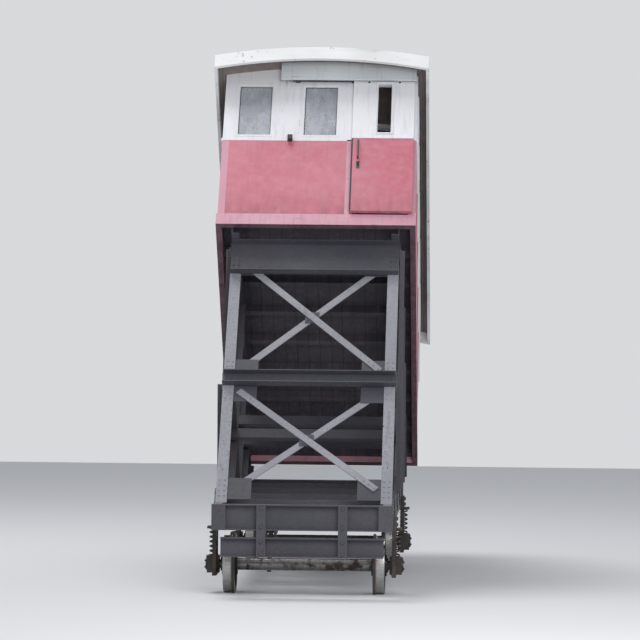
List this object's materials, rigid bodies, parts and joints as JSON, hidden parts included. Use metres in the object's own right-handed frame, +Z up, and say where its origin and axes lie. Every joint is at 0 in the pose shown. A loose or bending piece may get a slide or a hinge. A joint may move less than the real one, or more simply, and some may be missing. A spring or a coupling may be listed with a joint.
{
  "type": "funicular car",
  "caption": "Inclined-railway car: a level two-door cabin on a cross-braced steel wedge over a sloping underframe with flanged wheels and rope eyes.",
  "frame": {"origin": "middle of the cross bore of the rope eyes, at the underframe's uphill end", "axes": "+Y level and up the hill, +X to the right of someone looking up the hill, +Z straight up"},
  "size_m": [2.26, 4.8063, 6.5105],
  "materials": {
    "charcoal_steel": "old dark paint with rust at the joints",
    "pale_steel": "faded pale grey paint",
    "cast_iron": "oily and dusty",
    "axle_steel": "turned, dulled by grease",
    "floor_timber": "dark slate paint on boards",
    "red_panel": "red paint faded to pink",
    "pink_trim": "pale pink paint",
    "white_joinery": "white gloss paint on timber",
    "roof_white": "white paint, chalky",
    "window_glass": "clear and dusty",
    "bench_wood": "varnished slats",
    "pole_steel": "polished by hands",
    "lamp_glass": "opal",
    "buffer_rubber": "matt"
  },
  "bodies": {
    "car": {"side_sills": "charcoal_steel", "headstocks": "charcoal_steel", "guard_beam": "charcoal_steel", "cross_members": "charcoal_steel", "drawhead": "charcoal_steel", "pawl_hanger": "charcoal_steel", "side_posts": "charcoal_steel", "front_beams": "charcoal_steel", "middle_rails": "charcoal_steel", "side_gussets": "charcoal_steel", "side_braces": "charcoal_steel", "cross_ties": "charcoal_steel", "floor_beams": "charcoal_steel", "end_door_tracks": "charcoal_steel", "front_gussets": "charcoal_steel", "front_columns": "pale_steel", "front_braces": "pale_steel", "axle_guides": "cast_iron", "axle_boxes": "cast_iron", "axle_springs": "cast_iron", "floor_joists": "floor_timber", "floor_deck": "floor_timber", "side_lower_panels": "red_panel", "end_lower_panels": "red_panel", "base_rails": "pink_trim", "corner_posts": "white_joinery", "side_window_frames": "white_joinery", "end_window_frames": "white_joinery", "end_head_rails": "white_joinery", "end_gable_boards": "white_joinery", "end_header_boards": "white_joinery", "roof_bows": "white_joinery", "roof_shell": "roof_white", "roof_fascias": "roof_white", "window_glass": "window_glass", "benches": "bench_wood", "bench_standards": "bench_wood", "grab_poles": "pole_steel", "ceiling_lamp": "lamp_glass", "end_door_stops": "buffer_rubber"},
    "downhill_wheelset": {"downhill_axle": "axle_steel", "downhill_wheels": "cast_iron"},
    "uphill_wheelset": {"uphill_axle": "axle_steel", "uphill_wheels": "cast_iron"},
    "pawl": {"safety_pawl": "cast_iron"},
    "downhill_door": {"downhill_door_panel": "red_panel", "downhill_door_frame": "white_joinery", "downhill_door_handle": "charcoal_steel"},
    "uphill_door": {"uphill_door_panel": "red_panel", "uphill_door_frame": "white_joinery", "uphill_door_handle": "charcoal_steel"}
  },
  "joints": [
    {"name": "downhill_wheels_turn", "type": "hinge", "parent": "car", "child": "downhill_wheelset", "pos_m": [0, -3.53322, -3.49988], "axis": [1, 0, 0], "continuous": true},
    {"name": "uphill_wheels_turn", "type": "hinge", "parent": "car", "child": "uphill_wheelset", "pos_m": [0, -0.60711, -0.77124], "axis": [1, 0, 0], "continuous": true},
    {"name": "pawl_drop", "type": "hinge", "parent": "car", "child": "pawl", "pos_m": [-0.42, -2.41683, -2.14435], "axis": [1, 0, 0], "range_deg": [0, 15]},
    {"name": "downhill_door_slide", "type": "slide", "parent": "car", "child": "downhill_door", "axis": [-1, 0, 0], "range_m": [0, 0.615]},
    {"name": "uphill_door_slide", "type": "slide", "parent": "car", "child": "uphill_door", "axis": [1, 0, 0], "range_m": [0, 0.615]}
  ]
}
